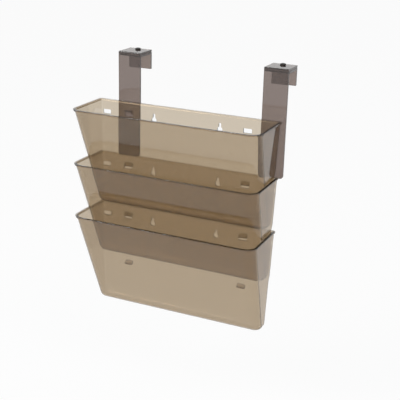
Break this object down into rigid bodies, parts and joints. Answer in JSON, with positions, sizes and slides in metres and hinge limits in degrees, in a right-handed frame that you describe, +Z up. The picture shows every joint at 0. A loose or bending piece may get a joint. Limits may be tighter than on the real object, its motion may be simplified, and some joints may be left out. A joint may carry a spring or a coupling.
{
  "type": "hanging document pocket",
  "caption": "Tiered set of smoke plastic document pockets, each hooked below and nested in the next, on two clamp hangers that fit over a partition.",
  "frame": {"origin": "front top edge of the partition that the hangers stand on, midway along the pockets", "axes": "+X along the pockets to the right as seen from the room, +Y through the partition away from the room, +Z up"},
  "size_m": [0.3361, 0.1434, 0.4484],
  "materials": {
    "pocket_smoke": "clear smoke grey plastic with a warm brown cast, polished",
    "hanger_smoke": "the same smoke plastic in a thicker wall, polished",
    "screw_black": "black painted, satin",
    "nut_steel": "zinc plated"
  },
  "bodies": {
    "leg_brackets": {"left_leg_bracket": "hanger_smoke", "right_leg_bracket": "hanger_smoke"},
    "left_rear_hook": {"left_rear_hook": "hanger_smoke"},
    "right_rear_hook": {"right_rear_hook": "hanger_smoke"},
    "left_clamp_screw": {"left_clamp_screw": "screw_black"},
    "right_clamp_screw": {"right_clamp_screw": "screw_black"},
    "left_clamp_nut": {"left_clamp_nut": "nut_steel"},
    "right_clamp_nut": {"right_clamp_nut": "nut_steel"},
    "top_pocket": {"top_pocket": "pocket_smoke"},
    "middle_pocket": {"middle_pocket": "pocket_smoke"},
    "bottom_pocket": {"bottom_pocket": "pocket_smoke"}
  },
  "joints": [
    {"name": "top_pocket_lift", "type": "slide", "parent": "leg_brackets", "child": "top_pocket", "axis": [0, 0, 1], "range_m": [0, 0.0039]},
    {"name": "middle_pocket_lift", "type": "slide", "parent": "top_pocket", "child": "middle_pocket", "axis": [0, 0, 1], "range_m": [0, 0.0039]},
    {"name": "bottom_pocket_lift", "type": "slide", "parent": "middle_pocket", "child": "bottom_pocket", "axis": [0, 0, 1], "range_m": [0, 0.0039]},
    {"name": "left_rear_hook_slide", "type": "slide", "parent": "leg_brackets", "child": "left_rear_hook", "axis": [0, 1, 0], "range_m": [0, 0.02]},
    {"name": "right_rear_hook_slide", "type": "slide", "parent": "leg_brackets", "child": "right_rear_hook", "axis": [0, 1, 0], "range_m": [0, 0.02]},
    {"name": "left_clamp_screw_turn", "type": "hinge", "parent": "leg_brackets", "child": "left_clamp_screw", "pos_m": [-0.1085, 0.027, 0.009], "axis": [0, 0, 1], "range_deg": [0, 315]},
    {"name": "right_clamp_screw_turn", "type": "hinge", "parent": "leg_brackets", "child": "right_clamp_screw", "pos_m": [0.1505, 0.027, 0.009], "axis": [0, 0, 1], "range_deg": [0, 315]},
    {"name": "left_clamp_nut_drop", "type": "slide", "parent": "leg_brackets", "child": "left_clamp_nut", "axis": [0, 0, -1], "range_m": [0, 0.0006125]},
    {"name": "right_clamp_nut_drop", "type": "slide", "parent": "leg_brackets", "child": "right_clamp_nut", "axis": [0, 0, -1], "range_m": [0, 0.0006125]}
  ],
  "couplings": [
    {"joint": "left_clamp_screw_turn", "follows": "left_clamp_nut_drop", "rad_per_m": 8976},
    {"joint": "right_clamp_screw_turn", "follows": "right_clamp_nut_drop", "rad_per_m": 8976}
  ]
}
